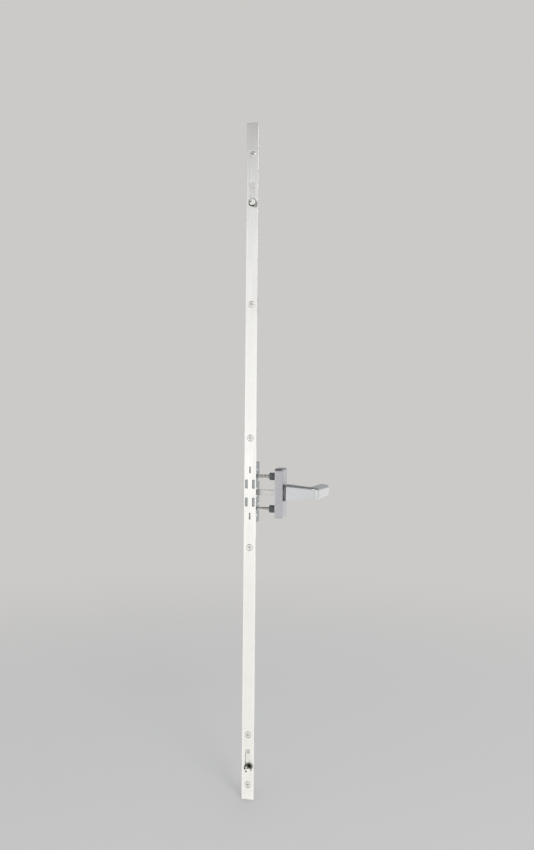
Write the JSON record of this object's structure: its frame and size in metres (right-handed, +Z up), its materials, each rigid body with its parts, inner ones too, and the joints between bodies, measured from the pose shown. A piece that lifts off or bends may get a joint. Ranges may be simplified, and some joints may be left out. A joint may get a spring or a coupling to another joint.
{
  "type": "window handle gear",
  "caption": "Edge gear of a timber window: a lever handle on a rose turns a square spindle, whose toothed follower slides a rod with eccentric locking cams behind a long faceplate.",
  "frame": {"origin": "on the front of the faceplate, on its centre line, at the height of the spindle", "axes": "+Z up along the faceplate; -Y out of the sash edge, the way the cams stand; +X to the room side, where the handle is. At rest the lever points along +Y, just under level: the open position."},
  "size_m": [0.0972, 0.1361, 0.887],
  "materials": {
    "bright_zinc": "bright zinc plating, smooth",
    "rod_zinc": "bright zinc plating, rubbed along its length",
    "die_cast_zinc": "die-cast zinc, dull",
    "hard_steel": "zinc-plated steel, turned or pressed",
    "satin_silver": "satin silver anodised",
    "dark_nylon": "moulded nylon, dark",
    "grey_nylon": "moulded nylon, grey",
    "spring_steel": "spring steel, phosphated"
  },
  "bodies": {
    "gear": {"faceplate": "bright_zinc", "case_half_room": "die_cast_zinc", "case_half_outside": "die_cast_zinc", "face_screw_top": "hard_steel", "face_screw_upper": "hard_steel", "face_screw_above_gear": "hard_steel", "face_screw_below_gear": "hard_steel", "face_screw_lower": "hard_steel", "face_screw_bottom": "hard_steel", "spacer_upper": "hard_steel", "spacer_lower": "hard_steel", "case_rivet_upper_end": "hard_steel", "case_rivet_upper_back": "hard_steel", "case_rivet_lower_end": "hard_steel", "case_rivet_lower_back": "hard_steel", "rose_bolt_upper": "hard_steel", "rose_bolt_lower": "hard_steel", "rose_cover": "satin_silver", "neck_bush": "dark_nylon", "rose_base": "grey_nylon", "rod_guide_upper": "grey_nylon", "rod_guide_above_gear": "grey_nylon", "rod_guide_below_gear": "grey_nylon", "rod_guide_lower": "grey_nylon", "wave_washer": "spring_steel"},
    "handle": {"follower": "hard_steel", "spindle": "hard_steel", "circlip": "spring_steel", "lever": "satin_silver", "grub_screw": "hard_steel"},
    "rod": {"drive_rod": "rod_zinc"},
    "cam_upper": {"upper_cam": "hard_steel"},
    "cam_lower": {"lower_cam": "hard_steel"}
  },
  "joints": [
    {"name": "handle_turn", "type": "hinge", "parent": "gear", "child": "handle", "pos_m": [0.05, 0.015, 0], "axis": [-1, 0, 0], "range_deg": [-2.3, 87.7]},
    {"name": "rod_slide", "type": "slide", "parent": "gear", "child": "rod", "axis": [0, 0, 1], "range_m": [-0.0005, 0.0176]},
    {"name": "upper_cam_adjust", "type": "hinge", "parent": "rod", "child": "cam_upper", "pos_m": [0, -0.004, 0.37906], "axis": [0, 1, 0], "continuous": true},
    {"name": "lower_cam_adjust", "type": "hinge", "parent": "rod", "child": "cam_lower", "pos_m": [0, -0.004, -0.36194], "axis": [0, 1, 0], "continuous": true}
  ],
  "couplings": [
    {"joint": "rod_slide", "follows": "handle_turn", "m_per_rad": 0.011459}
  ]
}
